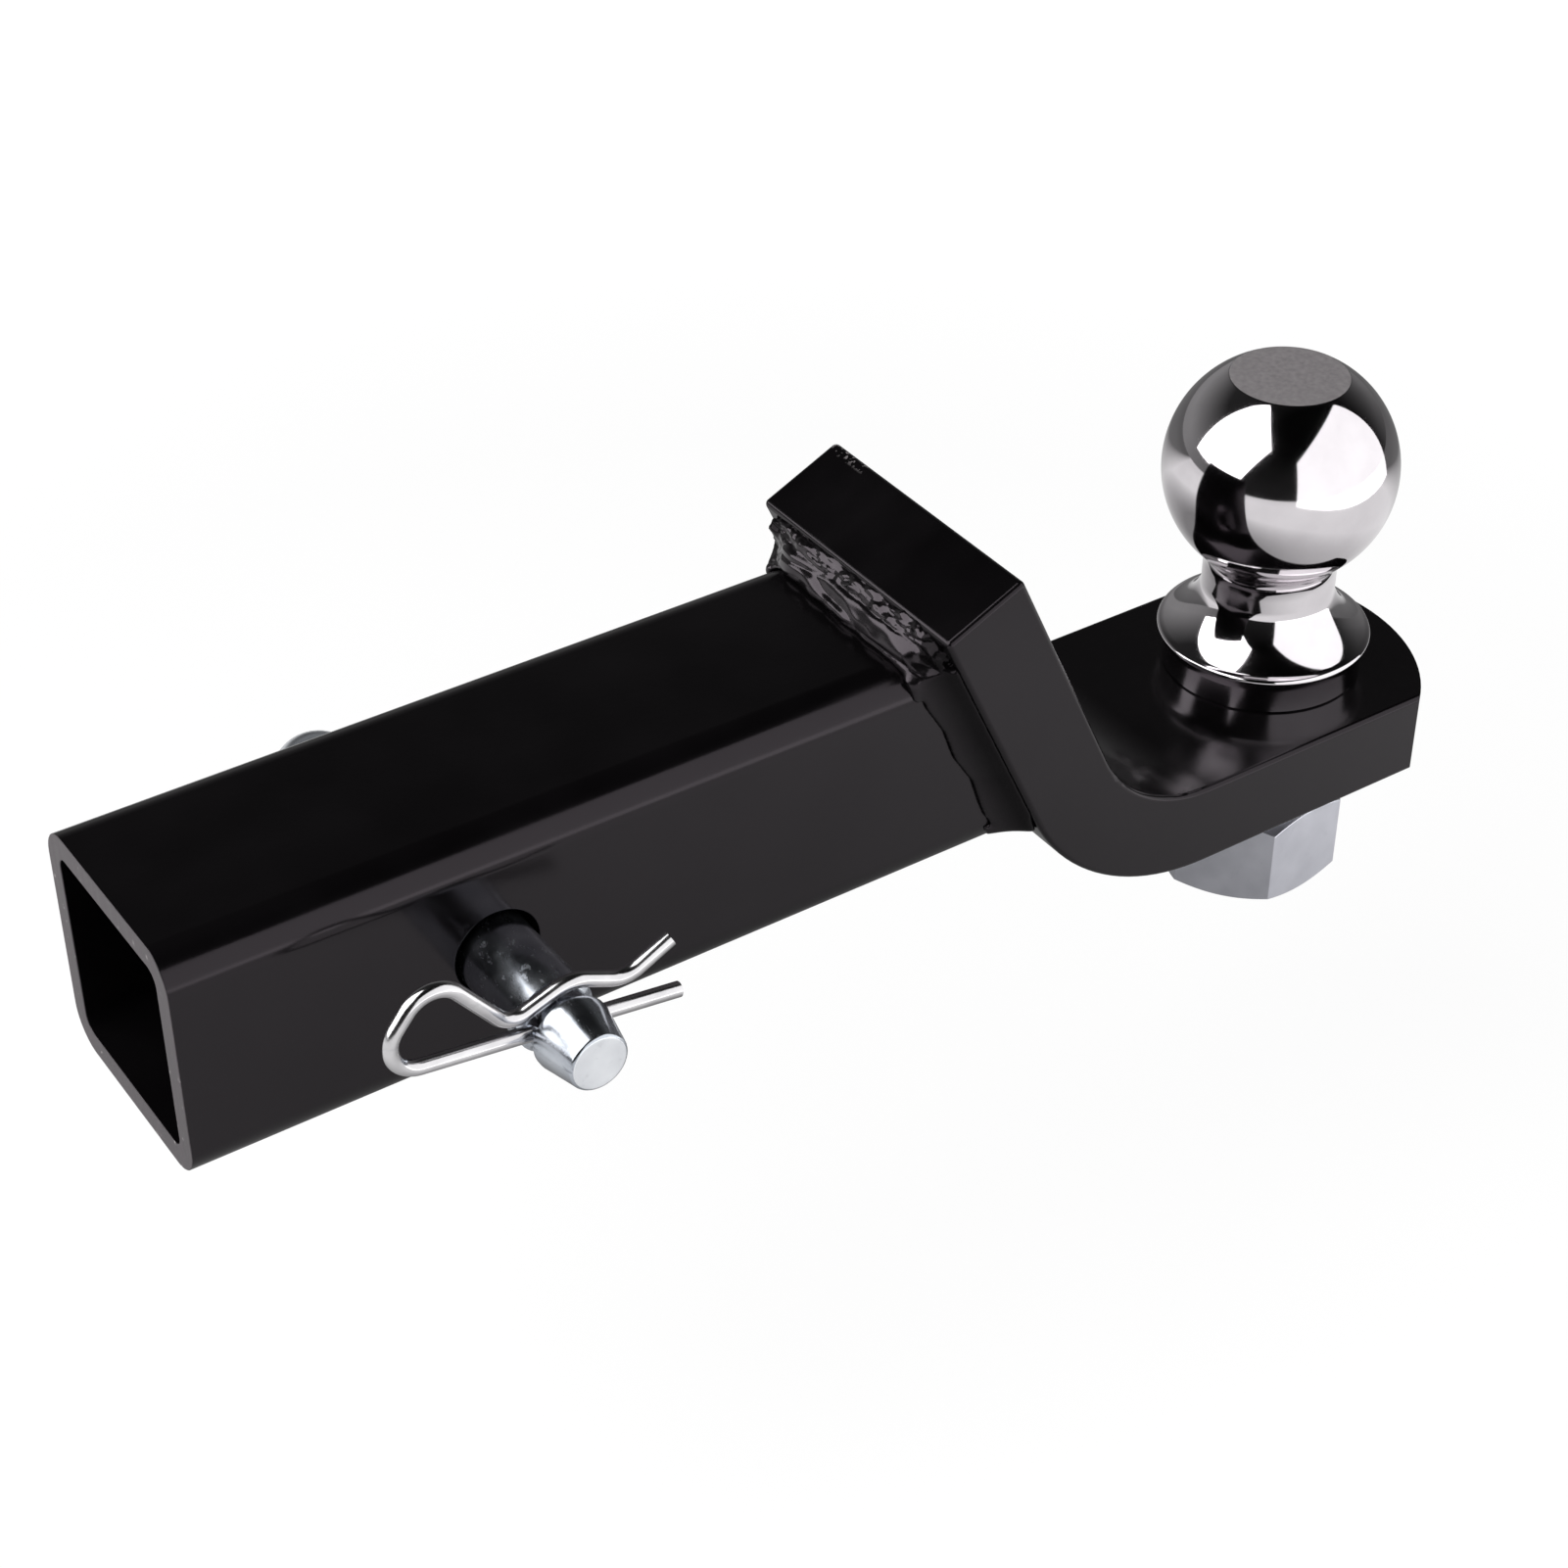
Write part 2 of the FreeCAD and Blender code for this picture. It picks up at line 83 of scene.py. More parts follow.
def apply_modifier(piece, kind, **settings):
    pick(piece)
    modifier = piece.modifiers.new(kind.lower(), kind)
    for name, value in settings.items():
        setattr(modifier, name, value)
    bpy.ops.object.modifier_apply(modifier=modifier.name)


def size_line(piece):
    corners = [Vector(c) for c in piece.bound_box]
    spans = [(max(c[i] for c in corners) - min(c[i] for c in corners)) / MM for i in range(3)]
    across = " x ".join(f"{span:.1f}" for span in spans)
    return f"{piece.name}: {len(piece.data.polygons)} faces, {across} mm"


print("ready to model")

# %% [markdown]
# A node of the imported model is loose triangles. To soften its edges it has to be one skin first, so a copy
# is made, its doubles are merged, and triangles that lie in one plane are dissolved into whole faces. The
# alternative is to model each piece again, but the steel parts already have the right form, and only their
# edges and finish are missing.

# %% Turn a node into a piece with whole faces
def merged_copy(node, name, flat_angle=0.6):
    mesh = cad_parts[node].data.copy()
    mesh.name = name
    mesh.materials.clear()
    piece = bpy.data.objects.new(name, mesh)
    bpy.context.scene.collection.objects.link(piece)
    pick(piece)
    if mesh.has_custom_normals:
        bpy.ops.mesh.customdata_custom_splitnormals_clear()
    bpy.ops.object.mode_set(mode="EDIT")
    bpy.ops.mesh.select_all(action="SELECT")
    bpy.ops.mesh.remove_doubles(threshold=0.002 * MM)
    if flat_angle:
        bpy.ops.mesh.dissolve_limited(angle_limit=radians(flat_angle))
    bpy.ops.object.mode_set(mode="OBJECT")
    return piece


def soften(piece, width, angle=35.0, segments=3):
    apply_modifier(piece, "BEVEL", width=width, limit_method="ANGLE", angle_limit=radians(angle),
                   segments=segments, use_clamp_overlap=True, harden_normals=False)


def smooth(piece, angle=40.0):
    pick(piece)
    bpy.ops.object.shade_smooth_by_angle(angle=radians(angle))
    apply_modifier(piece, "WEIGHTED_NORMAL", keep_sharp=True, weight=100)


def place(piece, body, slot, *nodes):
    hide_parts(*nodes)
    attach(piece, body)
    print(size_line(piece))


tube = merged_copy("shank_tube", "tube")
print("one skin for the tube:", len(tube.data.polygons), "faces")

# %% [markdown]
# The tube is sawn off square, so its end is a flat ring with edges that a file has just broken. A narrow
# bevel on every sharp edge catches the light the way the real edge does. The rounded corners along its
# length come from the mill and are already in the model.

# %% The square tube
TUBE_EDGE = 0.45 * MM
soften(tube, TUBE_EDGE)
smooth(tube)
place(tube, "mount", "black_powder_coat", "shank_tube")

# %% [markdown]
# The drop plate is flat bar, sheared to length, bent once and rounded at its nose. Its long edges have a
# small rolled round in the model. The remaining sharp edges, at the sheared top end, get a fine bevel.

# %% The bent drop plate
PLATE_EDGE = 0.5 * MM
plate = merged_copy("drop_plate", "plate")
soften(plate, PLATE_EDGE)
smooth(plate)
place(plate, "mount", "black_powder_coat", "drop_plate")

# %% [markdown]
# The weld runs round the joint without a break, so its four beads are joined and remeshed into one skin of
# small, even faces, which also closes the corners where they meet. A thin skirt of melt climbs the plate
# and turns down at its two ends. It is made of three flat bars that go into the same skin. The plate leans,
# so its directions are kept as three axes: through the plate, up along it, and across it.

# %% Join the weld into one skin
BEADS = ("weld_top", "weld_near_side", "weld_far_side", "weld_bottom")
BEAD_VOXEL = 0.3 * MM
PLATE_LEAN = radians(25)
PLATE_AXES = (Vector((cos(PLATE_LEAN), 0, sin(PLATE_LEAN))), Vector((-sin(PLATE_LEAN), 0, cos(PLATE_LEAN))),
              Vector((0, 1, 0)))
PLATE_BACK = 101.73 * MM
SKIRT = ((0, 52, 31.2, 5.0, 2.6), (-25.4, 6.0, 28.2, 7.6, 4.6), (25.4, 6.0, 28.2, 7.6, 4.6))
SQUASH = 0.45


def stretch_along(piece, share):
    pick(piece)
    piece.scale.y = share
    bpy.ops.object.transform_apply(location=False, rotation=False, scale=True)


copies = [merged_copy(node, node + "_copy") for node in BEADS]
for side, length, height, tall, thick in SKIRT:
    back = (PLATE_BACK - height * MM * sin(PLATE_LEAN)) / cos(PLATE_LEAN)
    bpy.ops.mesh.primitive_cube_add(size=1, location=(back, side * MM, height * MM),
                                    rotation=(0, -PLATE_LEAN, 0), scale=(thick * MM, length * MM, tall * MM))
    copies.append(bpy.context.object)
bpy.ops.object.select_all(action="DESELECT")
for copy in copies:
    copy.select_set(True)
bpy.context.view_layer.objects.active = copies[0]
bpy.ops.object.join()
weld = copies[0]
weld.name = weld.data.name = "weld"
stretch_along(weld, SQUASH)
apply_modifier(weld, "REMESH", mode="VOXEL", voxel_size=BEAD_VOXEL, use_smooth_shade=True)
stretch_along(weld, 1 / SQUASH)
print("one skin for the weld:", len(weld.data.polygons), "faces")

# %% [markdown]
# The top bead was laid in a hurry and the side beads flowed smooth, so vertex groups hold how much each
# part of the skin moves. The skin is smoothed while it is squashed along the bead, so the even ripples go
# and the profile stays. It is then swollen a little, so that its toes sink into the steel again.

# %% Smooth the skin of the weld
TOE_SINK = 0.35 * MM
EVEN_PASSES, RIPPLE_PASSES = 10, 150
TOP_SIDES, TOP_RISE = (-28 * MM, -24 * MM), (20 * MM, 24 * MM)
LOWER_SIDES, LOWER_FALL = (20 * MM, 24 * MM), (16 * MM, 21 * MM)
RAGGED_DEPTH, RAGGED_RISE = (-3.5 * MM, -1.5 * MM), (25 * MM, 28 * MM)


def between(value, low, high):
    return min(max((value - low) / (high - low), 0), 1)


def top_share(point):
    return between(-abs(point.y), *TOP_SIDES) * between(point.z, *TOP_RISE)


def smoothed_share(point):
    lower_end = between(-point.z, *LOWER_FALL) * between(abs(point.y), *LOWER_SIDES)
    return max(top_share(point), lower_end)


def ragged_share(point):
    by_plate = between(point.dot(PLATE_AXES[0]) - PLATE_BACK, *RAGGED_DEPTH)
    return by_plate * between(point.z, *RAGGED_RISE)


for part, share in (("top", top_share), ("smoothed", smoothed_share), ("ragged", ragged_share)):
    members = weld.vertex_groups.new(name=part)
    for vertex in weld.data.vertices:
        members.add([vertex.index], share(vertex.co), "REPLACE")
stretch_along(weld, SQUASH)
apply_modifier(weld, "SMOOTH", factor=0.5, iterations=EVEN_PASSES)
apply_modifier(weld, "SMOOTH", factor=0.5, iterations=RIPPLE_PASSES, vertex_group="smoothed")
stretch_along(weld, 1 / SQUASH)
apply_modifier(weld, "DISPLACE", strength=TOE_SINK, mid_level=0.0)
print("groups on the weld:", [members.name for members in weld.vertex_groups])

# %% [markdown]
# A bead is rougher than that. A cloud texture gives the lumps where the torch slowed, the borders of a cell
# texture the long creases where the melt lapped over itself, and a finer cloud the ragged edge by the
# plate. An empty stretched along the bead gives each texture its size and direction, and it is removed
# afterwards.

# %% Roughen the weld
LUMP_DEPTH, LUMP_GRAIN = 1.2 * MM, (5 * MM, 24 * MM, 5 * MM)
CREASE_DEPTH, CREASE_GRAIN, CREASE_WIDTH = 0.4 * MM, (4.5 * MM, 38 * MM, 4.5 * MM), 0.08
RAG_DEPTH, RAG_GRAIN = 1.6 * MM, (1.5 * MM, 2.2 * MM, 1.5 * MM)
CLOUD = {"noise_scale": 1.0, "noise_depth": 1}
BORDERS = {"noise_scale": 1.0, "weight_1": -1.0, "weight_2": 1.0}


def push(piece, part, kind, depth, level, grain, edge=None, **settings):
    texture = bpy.data.textures.new(f"weld_{kind.lower()}", kind)
    for name, value in settings.items():
        setattr(texture, name, value)
    if edge:
        texture.use_color_ramp = True
        low, high = texture.color_ramp.elements
        low.position, low.color = 0.0, (0, 0, 0, 1)
        high.position, high.color = edge, (1, 1, 1, 1)
    bpy.ops.object.empty_add(location=(0, 0, 0))
    guide = bpy.context.object
    guide.scale = grain
    bpy.context.view_layer.update()
    apply_modifier(piece, "DISPLACE", texture=texture, texture_coords="OBJECT", texture_coords_object=guide,
                   strength=depth, mid_level=level, vertex_group=part)
    bpy.data.objects.remove(guide)


push(weld, "top", "CLOUDS", LUMP_DEPTH, 0.36, LUMP_GRAIN, **CLOUD)
push(weld, "top", "VORONOI", CREASE_DEPTH, 1.0, CREASE_GRAIN, edge=CREASE_WIDTH, **BORDERS)
push(weld, "ragged", "CLOUDS", RAG_DEPTH, 0.45, RAG_GRAIN, **CLOUD)
apply_modifier(weld, "SMOOTH", factor=0.5, iterations=2)
pick(weld)
bpy.ops.object.shade_smooth()
place(weld, "mount", "black_powder_coat", *BEADS)

# %% [markdown]
# The ball is turned on a lathe, so it is made the same way: half of its outline is traced from point to
# point, and a spin carries it once round the axis. A ball from a primitive would need a neck and a base
# joined to it, and the joints would show in the mirror finish. The outline repeats the sizes of the solid.

# %% Trace the outline of the ball
BALL_REACH = 208.3
PLATFORM_TOP = -28.3
BALL_RADIUS = 25.4
FLAT_RADIUS = 12.7
BALL_CENTRE = 49.4
NECK_RADIUS = 14.6
NECK_BOTTOM, NECK_TOP = 19.5, 25.5
NECK_BLEND = 2.6
FLARE_RADIUS, FLARE_HEIGHT, FLARE_ROUND, FLARE_HOLLOW = 23.5, 8.6, 0.8, 1.3
RIM_RADIUS, RIM_HEIGHT, RIM_BREAK, RIM_STEP = 22.0, 6.0, 0.4, 0.15
BOLT_RADIUS, BOLT_LENGTH, BOLT_CHAMFER = 12.7, 54.0, 1.5
FLAT_ROUND = 0.35


def arc_through(start, middle, end, steps):
    (ax, ay), (bx, by), (cx, cy) = start, middle, end
    d = 2 * (ax * (by - cy) + bx * (cy - ay) + cx * (ay - by))
    sa, sb, sc = ax * ax + ay * ay, bx * bx + by * by, cx * cx + cy * cy
    ox = (sa * (by - cy) + sb * (cy - ay) + sc * (ay - by)) / d
    oy = (sa * (cx - bx) + sb * (ax - cx) + sc * (bx - ax)) / d
    radius = sqrt((ax - ox) ** 2 + (ay - oy) ** 2)
    first, via, last = (atan2(y - oy, x - ox) for x, y in (start, middle, end))
    sweep = (last - first) % (2 * pi)
    if (via - first) % (2 * pi) > sweep:
        sweep -= 2 * pi
    turns = [first + sweep * step / steps for step in range(1, steps + 1)]
    return [(ox + radius * cos(turn), oy + radius * sin(turn)) for turn in turns]


def on_ball(radius, sign):
    return radius, BALL_CENTRE + sign * sqrt(BALL_RADIUS ** 2 - radius ** 2)


def ball_outline():
    points = [(0, -BOLT_LENGTH), (BOLT_RADIUS - BOLT_CHAMFER, -BOLT_LENGTH)]
    points += [(BOLT_RADIUS, BOLT_CHAMFER - BOLT_LENGTH), (BOLT_RADIUS, 0), (RIM_RADIUS - RIM_BREAK, 0)]
    points += [(RIM_RADIUS, RIM_BREAK), (RIM_RADIUS, RIM_HEIGHT - RIM_BREAK)]
    points += [(RIM_RADIUS + RIM_STEP, RIM_HEIGHT + RIM_BREAK)]
    edge_low = (FLARE_RADIUS - FLARE_ROUND, FLARE_HEIGHT - FLARE_ROUND)
    edge_top = (FLARE_RADIUS - FLARE_ROUND, FLARE_HEIGHT + FLARE_ROUND)
    neck_low = (NECK_RADIUS, NECK_BOTTOM)
    points.append(edge_low)
    points += arc_through(edge_low, (FLARE_RADIUS, FLARE_HEIGHT), edge_top, 10)
    chord = ((neck_low[0] + edge_top[0]) / 2, (neck_low[1] + edge_top[1]) / 2)
    inward = Vector((edge_top[1] - neck_low[1], neck_low[0] - edge_top[0])).normalized() * FLARE_HOLLOW
    points += arc_through(edge_top, (chord[0] + inward.x, chord[1] + inward.y), neck_low, 16)
    points += [(NECK_RADIUS, NECK_BOTTOM + (NECK_TOP - NECK_BOTTOM) * step / 4) for step in range(1, 5)]
    ball_low = on_ball(NECK_RADIUS + NECK_BLEND, -1)
    throat = (NECK_RADIUS + NECK_BLEND * (1 - sqrt(0.5)), (ball_low[1] + NECK_TOP) / 2)
    points += arc_through((NECK_RADIUS, NECK_TOP), throat, ball_low, 8)
    rim = on_ball(FLAT_RADIUS + FLAT_ROUND, 1)
    flat_top = on_ball(FLAT_RADIUS, 1)[1]
    points += arc_through(ball_low, (BALL_RADIUS, BALL_CENTRE), rim, 48)
    points += [(FLAT_RADIUS, flat_top - 0.02), (FLAT_RADIUS - FLAT_ROUND, flat_top)]
    points += [(FLAT_RADIUS * 0.5, flat_top), (0, flat_top)]
    return points


outline = ball_outline()
print("outline points:", len(outline))

# %% [markdown]
# Blender has no single-point primitive, so a small plane is added at the first point and merged into its
# middle. Each next point is an extrude of the last one. The spin then needs only the axis and the number of
# steps, and merging closes the seam and the two poles.

# %% Spin the ball
SPIN_STEPS = 144
SEAM_GAP = 0.004 * MM


def trace(name, points, reach, base):
    bpy.ops.object.select_all(action="DESELECT")
    start = Vector(((reach + points[0][0]) * MM, 0, (base + points[0][1]) * MM))
    bpy.ops.mesh.primitive_plane_add(size=1 * MM)
    piece = bpy.context.object
    piece.name = piece.data.name = name
    bpy.ops.object.mode_set(mode="EDIT")
    bpy.ops.mesh.select_all(action="SELECT")
    bpy.ops.mesh.merge(type="CENTER")
    bpy.ops.transform.translate(value=start)
    for (r0, h0), (r1, h1) in zip(points, points[1:]):
        step = ((r1 - r0) * MM, 0, (h1 - h0) * MM)
        bpy.ops.mesh.extrude_region_move(TRANSFORM_OT_translate={"value": step})
    return piece


ball = trace("ball", outline, BALL_REACH, PLATFORM_TOP)
bpy.ops.mesh.select_all(action="SELECT")
bpy.ops.mesh.spin(steps=SPIN_STEPS, angle=2 * pi, center=(BALL_REACH * MM, 0, 0), axis=(0, 0, 1))
bpy.ops.mesh.select_all(action="SELECT")
bpy.ops.mesh.remove_doubles(threshold=SEAM_GAP)
bpy.ops.mesh.normals_make_consistent(inside=False)
bpy.ops.object.mode_set(mode="OBJECT")
pick(ball)
bpy.ops.object.shade_smooth_by_angle(angle=radians(32))
place(ball, "mount", "polished_chrome", "hitch_ball")

# %% [markdown]
# The nut is forged and machined, with a chamfer that leaves curved edges on its flats, and the split washer
# above it is one turn of square wire. Both are copies of their solids with their sharp edges broken.

# %% The nut and the split washer
NUT_EDGE, WASHER_EDGE = 0.5 * MM, 0.3 * MM
nut = merged_copy("hex_nut", "nut")
soften(nut, NUT_EDGE, angle=25)
smooth(nut)
place(nut, "mount", "zinc_plate", "hex_nut")
washer = merged_copy("lock_washer", "split_washer")
soften(washer, WASHER_EDGE, angle=40, segments=2)
smooth(washer)
place(washer, "mount", "zinc_plate", "lock_washer")

# %% [markdown]
# The pin is round bar with a turned tip and one cold bend, and the clip is one length of spring wire. Their
# solids have the right curves, so each copy is merged, its ends are broken and its skin is shaded smooth.
# The rim of the pin's tip is worn rounder than the rest, so its ring of edges is picked by its place and
# beveled.

# %% The bent pin and its wire clip
PIN_EDGE, CLIP_EDGE = 0.3 * MM, 0.35 * MM
TIP_ROUND, TIP_DEPTH = 0.7 * MM, 0.05 * MM


def round_edges(piece, chosen, width, segments):
    pick(piece)
    bpy.ops.object.mode_set(mode="EDIT")
    bpy.ops.mesh.select_mode(type="EDGE")
    bpy.ops.mesh.select_all(action="DESELECT")
    bpy.ops.object.mode_set(mode="OBJECT")
    points = piece.data.vertices
    for edge in piece.data.edges:
        edge.select = all(chosen(points[index].co) for index in edge.vertices)
    bpy.ops.object.mode_set(mode="EDIT")
    bpy.ops.mesh.bevel(offset=width, segments=segments, affect="EDGES")
    bpy.ops.object.mode_set(mode="OBJECT")


pin = merged_copy("hitch_pin", "bent_pin")
tip_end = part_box("hitch_pin")[0].y
round_edges(pin, lambda point: point.y < tip_end + TIP_DEPTH, TIP_ROUND, 4)
soften(pin, PIN_EDGE, angle=28)
smooth(pin)
place(pin, "pin", "zinc_plate", "hitch_pin")
clip = merged_copy("r_clip", "wire_clip", flat_angle=0)
soften(clip, CLIP_EDGE, angle=40)
pick(clip)
bpy.ops.object.shade_smooth_by_angle(angle=radians(45))
place(clip, "clip", "bright_wire", "r_clip")

# %% [markdown]
# Every finish is a Principled shader with noise for its colour, gloss and bump. The helpers below make the
# usual nodes: a noise on Object coordinates, a ramp from one number to another, and a bump. Object
# coordinates are in metres here, so a noise scale of 1000 gives grains of about a millimetre.

# %% Helpers for the finishes
def finish(name):
    material = bpy.data.materials.new(name)
    material.use_nodes = True
    nodes = material.node_tree.nodes
    return material, nodes, material.node_tree.links, nodes["Principled BSDF"]


def noise(nodes, links, scale, detail=3.0, stretch=(1, 1, 1), rough=0.5):
    place_node = nodes.new("ShaderNodeTexCoord")
    mapping = nodes.new("ShaderNodeMapping")
    mapping.inputs["Scale"].default_value = stretch
    texture = nodes.new("ShaderNodeTexNoise")
    texture.inputs["Scale"].default_value = scale
    texture.inputs["Detail"].default_value = detail
    texture.inputs["Roughness"].default_value = rough
    links.new(place_node.outputs["Object"], mapping.inputs["Vector"])
    links.new(mapping.outputs["Vector"], texture.inputs["Vector"])
    return texture.outputs["Fac"]


def spread(nodes, links, source, low, high, to_low, to_high):
    node = nodes.new("ShaderNodeMapRange")
    node.inputs["From Min"].default_value = low
    node.inputs["From Max"].default_value = high
    node.inputs["To Min"].default_value = to_low
    node.inputs["To Max"].default_value = to_high
    links.new(source, node.inputs["Value"])
    return node.outputs["Result"]


def blend_colour(nodes, links, factor, first, second):
    node = nodes.new("ShaderNodeMix")
    node.data_type = "RGBA"
    links.new(factor, node.inputs["Factor"])
    for socket, colour in ((node.inputs[6], first), (node.inputs[7], second)):
        if isinstance(colour, tuple):
            socket.default_value = (*colour, 1)
        else:
            links.new(colour, socket)
    return node.outputs[2]


def bump(nodes, links, height, strength, distance, under=None):
    node = nodes.new("ShaderNodeBump")
    node.inputs["Strength"].default_value = strength
    node.inputs["Distance"].default_value = distance
    links.new(height, node.inputs["Height"])
    if under:
        links.new(under, node.inputs["Normal"])
    return node.outputs["Normal"]


def either(nodes, links, first, second, operation="MAXIMUM"):
    node = nodes.new("ShaderNodeMath")
    node.operation = operation
    for socket, value in zip(node.inputs, (first, second)):
        if isinstance(value, float):
            socket.default_value = value
        else:
            links.new(value, socket)
    return node.outputs[0]


def along(nodes, links, way):
    place_node = nodes.new("ShaderNodeTexCoord")
    node = nodes.new("ShaderNodeVectorMath")
    node.operation = "DOT_PRODUCT"
    node.inputs[1].default_value = way
    links.new(place_node.outputs["Object"], node.inputs[0])
    return node.outputs["Value"]


def coat(piece, *materials):
    piece.data.materials.clear()
    for material in materials:
        piece.data.materials.append(material)


def give(piece, index, chosen):
    count = 0
    for face in piece.data.polygons:
        if chosen(face):
            face.material_index = index
            count += 1
    return count


print("finish helpers ready")

# %% [markdown]
# Powder coat is sprayed as dust and baked, so it flows into a thick glossy skin with a faint orange peel.
# The colour is a little uneven, the gloss changes in broad patches where it was handled, and fine specks of
# dust sit in it. Three noises at three sizes give these. On the sheared end of the plate the coat is thin,
# and knocks have left bare specks along its rounded edges, so those faces get a worn copy of the paint. The
# hollow side beads catch most light where they run out on the tube, so their shine fades towards the plate.

# %% Black powder coat
BLACK, SOFT_BLACK, BARE = (0.0017, 0.0015, 0.0017), (0.0028, 0.0025, 0.0028), (0.20, 0.185, 0.19)
SHEEN = (1, 0.88, 0.98, 1)
PAINT_SHINE, BEAD_SHINE, SIDE_SHINE = 0.33, 0.5, (0.38, 0.1)
WORN_STRIP, WORN_SIDE = (118.8 * MM, 120.6 * MM), (-4 * MM, 10 * MM)
SIDE_BEAD = (PLATE_BACK - 7.5 * MM, PLATE_BACK - 2 * MM)
SHEARED_ABOVE, SIDE_BEAD_BEYOND = 24 * MM, 24.5 * MM


def powder_coat(name, dark, pale, gloss_low, gloss_high, shine, worn=False):
    material, nodes, links, shader = finish(name)
    patch = noise(nodes, links, 45, 2)
    colour = blend_colour(nodes, links, spread(nodes, links, patch, 0.35, 0.65, 0, 1), dark, pale)
    if worn:
        knocks = either(nodes, links, spread(nodes, links, noise(nodes, links, 900, 2), 0.55, 0.62, 0, 1),
                        spread(nodes, links, noise(nodes, links, 80, 1), 0.46, 0.54, 0, 1), "MULTIPLY")
        at_front = spread(nodes, links, along(nodes, links, PLATE_AXES[0]), *WORN_STRIP, 0, 1)
        far_half = spread(nodes, links, along(nodes, links, PLATE_AXES[2]), *WORN_SIDE, 0, 1)
        worn_place = either(nodes, links, at_front, far_half, "MULTIPLY")
        knocks = either(nodes, links, knocks, worn_place, "MULTIPLY")
        colour = blend_colour(nodes, links, knocks, colour, BARE)
    links.new(colour, shader.inputs["Base Color"])
    smear = noise(nodes, links, 60, 5, (0.35, 1, 1))
    links.new(spread(nodes, links, smear, 0.3, 0.7, gloss_low, gloss_high), shader.inputs["Roughness"])
    peel = bump(nodes, links, noise(nodes, links, 700, 2), 0.12, 0.06 * MM)
    grains = bump(nodes, links, noise(nodes, links, 3500, 2), 0.05, 0.03 * MM, peel)
    links.new(grains, shader.inputs["Normal"])
    if isinstance(shine, tuple):
        fade = spread(nodes, links, along(nodes, links, PLATE_AXES[0]), *SIDE_BEAD, *shine)
        links.new(fade, shader.inputs["Specular IOR Level"])
    else:
        shader.inputs["Specular IOR Level"].default_value = shine
    shader.inputs["Specular Tint"].default_value = SHEEN
    return material


paint = powder_coat("black_powder_coat", BLACK, SOFT_BLACK, 0.12, 0.2, PAINT_SHINE)
worn_paint = powder_coat("worn_powder_coat", BLACK, SOFT_BLACK, 0.12, 0.24, PAINT_SHINE, worn=True)
bead_paint = powder_coat("bead_paint", BLACK, SOFT_BLACK, 0.12, 0.2, BEAD_SHINE)
side_paint = powder_coat("side_bead_paint", BLACK, SOFT_BLACK, 0.16, 0.26, SIDE_SHINE)


def on_sheared_end(face):
    faces_up = abs(face.normal.y) < 0.9 and face.normal.dot(PLATE_AXES[1]) > 0.2
    return face.center.z > SHEARED_ABOVE and faces_up


def on_side_bead(face):
    return abs(face.center.y) > SIDE_BEAD_BEYOND


coat(plate, paint, worn_paint)
coat(weld, bead_paint, side_paint)
print("worn faces on the plate:", give(plate, 1, on_sheared_end))
print("faces on the smooth side beads:", give(weld, 1, on_side_bead))

# %% [markdown]
# The sawn end of the tube is a dull mauve grey, which is painted sheen standing in for the lamp on the left
# on its rough coat, with small bare chips that are real wear. It needs a finish of its own on the ring of
# faces at the open end, which are found by their place and normal.

# %% The sawn end of the tube
def sawn_end():
    material, nodes, links, shader = finish("sawn_end_sheen_and_chips")
    saw = noise(nodes, links, 500, 4, (1, 1, 0.12))
    # The grey ground is painted sheen of the lamp on the left, varied by saw marks; the chips mixed in below
    # are real wear.
    painted_sheen = blend_colour(nodes, links, spread(nodes, links, saw, 0.3, 0.7, 0, 1),
                          (0.045, 0.039, 0.043), (0.078, 0.068, 0.074))
    chips = spread(nodes, links, noise(nodes, links, 420, 3), 0.68, 0.72, 0, 1)
    links.new(blend_colour(nodes, links, chips, painted_sheen, (0.26, 0.24, 0.245)), shader.inputs["Base Color"])
    links.new(spread(nodes, links, saw, 0.3, 0.7, 0.38, 0.55), shader.inputs["Roughness"])
    links.new(bump(nodes, links, saw, 0.25, 0.08 * MM), shader.inputs["Normal"])
    shader.inputs["Specular IOR Level"].default_value = 0.3
    return material


coat(tube, paint, sawn_end())
open_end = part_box("shank_tube")[0].x
ring = give(tube, 1, lambda face: face.center.x < open_end + TUBE_EDGE * 1.05 and face.normal.x < -0.5)
print("faces in the sawn ring:", ring)

# %% [markdown]
# The chrome is a mirror, and most of its look comes from what stands round it. What the finish itself has
# is faint polishing haze, a few fingerprints and hairline scratches, which break the mirror where a lamp
# shows in it.

# %% Polished chrome
def polished_chrome():
    material, nodes, links, shader = finish("polished_chrome")
    haze = noise(nodes, links, 90, 4)
    tint = blend_colour(nodes, links, spread(nodes, links, haze, 0.35, 0.65, 0, 1),
                        (0.67, 0.64, 0.665), (0.74, 0.71, 0.735))
    links.new(tint, shader.inputs["Base Color"])
    shader.inputs["Metallic"].default_value = 1.0
    links.new(spread(nodes, links, haze, 0.3, 0.75, 0.035, 0.1), shader.inputs["Roughness"])
    lines = noise(nodes, links, 260, 2, (1, 1, 14))
    links.new(bump(nodes, links, lines, 0.03, 0.01 * MM), shader.inputs["Normal"])
    return material


def satin_flat():
    material, nodes, links, shader = finish("satin_flat")
    grain = noise(nodes, links, 900, 4)
    tint = blend_colour(nodes, links, spread(nodes, links, grain, 0.3, 0.7, 0, 1),
                        (0.32, 0.30, 0.31), (0.41, 0.385, 0.395))
    links.new(tint, shader.inputs["Base Color"])
    shader.inputs["Metallic"].default_value = 0.55
    links.new(spread(nodes, links, grain, 0.3, 0.7, 0.45, 0.55), shader.inputs["Roughness"])
    links.new(bump(nodes, links, grain, 0.2, 0.04 * MM), shader.inputs["Normal"])
    return material


